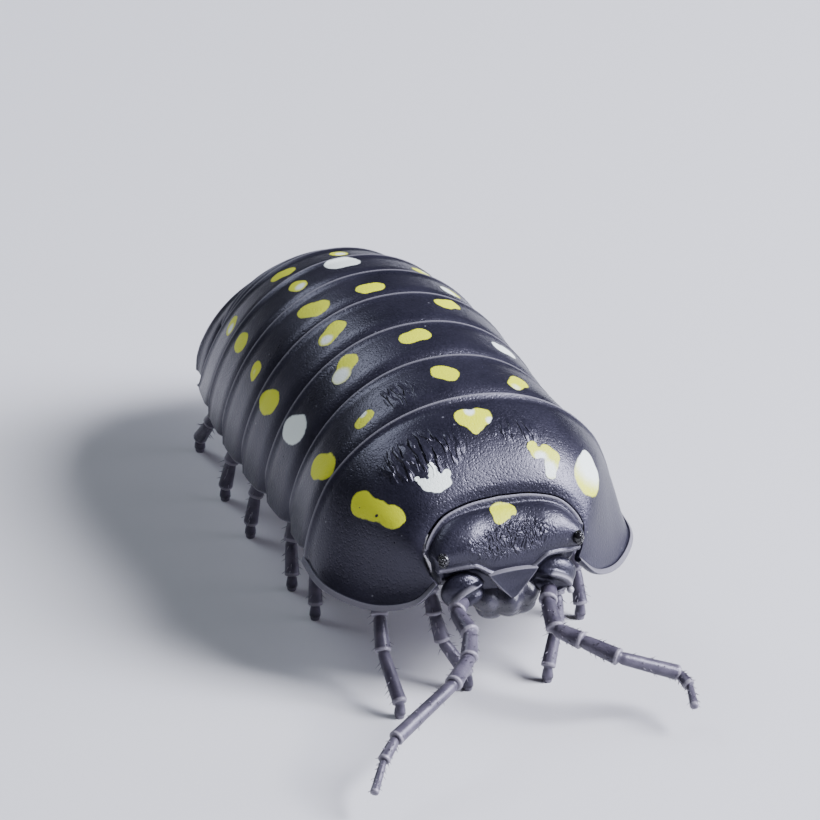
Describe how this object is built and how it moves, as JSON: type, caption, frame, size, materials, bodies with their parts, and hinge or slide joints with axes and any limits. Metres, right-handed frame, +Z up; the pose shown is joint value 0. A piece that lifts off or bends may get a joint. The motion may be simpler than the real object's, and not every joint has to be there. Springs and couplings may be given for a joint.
{
  "type": "pill woodlouse, life-size still model",
  "caption": "Arched, plated woodlouse standing on its legs, with its shell lobes round the head and its feelers reaching forward and down.",
  "frame": {"origin": "middle of the bounding box at floor level, between the feet", "axes": "+Y towards the tail along the body, -Y where the head faces, +X the animal's left side, +Z up"},
  "size_m": [0.0104, 0.0216, 0.0074],
  "materials": {
    "shell": "near-black slate shell, semi-gloss with a fine grain and a faint violet sheen, pale grey raised rims, yellow and white spots in rows",
    "limb": "lilac-grey, half-clear horn of the legs and feelers, whitish at the joints",
    "eye": "glossy black bead",
    "mouth": "dark grey mouthparts with pale yellowish lower edges"
  },
  "bodies": {
    "root": {"head": "shell", "eye_left": "eye", "eye_right": "eye", "mouthparts": "mouth", "antenna_left": "limb", "antenna_right": "limb", "pereonite_1": "shell", "pereonite_2": "shell", "pereonite_3": "shell", "pereonite_4": "shell", "pereonite_5": "shell", "pereonite_6": "shell", "pereonite_7": "shell", "pleonite_1": "shell", "pleonite_2": "shell", "pleonite_3": "shell", "pleonite_4": "shell", "pleonite_5": "shell", "telson": "shell", "uropod_left": "shell", "uropod_right": "shell", "pereopod_left_1": "limb", "pereopod_right_1": "limb", "pereopod_left_2": "limb", "pereopod_right_2": "limb", "pereopod_left_3": "limb", "pereopod_right_3": "limb", "pereopod_left_4": "limb", "pereopod_right_4": "limb", "pereopod_left_5": "limb", "pereopod_right_5": "limb", "pereopod_left_6": "limb", "pereopod_right_6": "limb", "pereopod_left_7": "limb", "pereopod_right_7": "limb"}
  },
  "joints": []
}
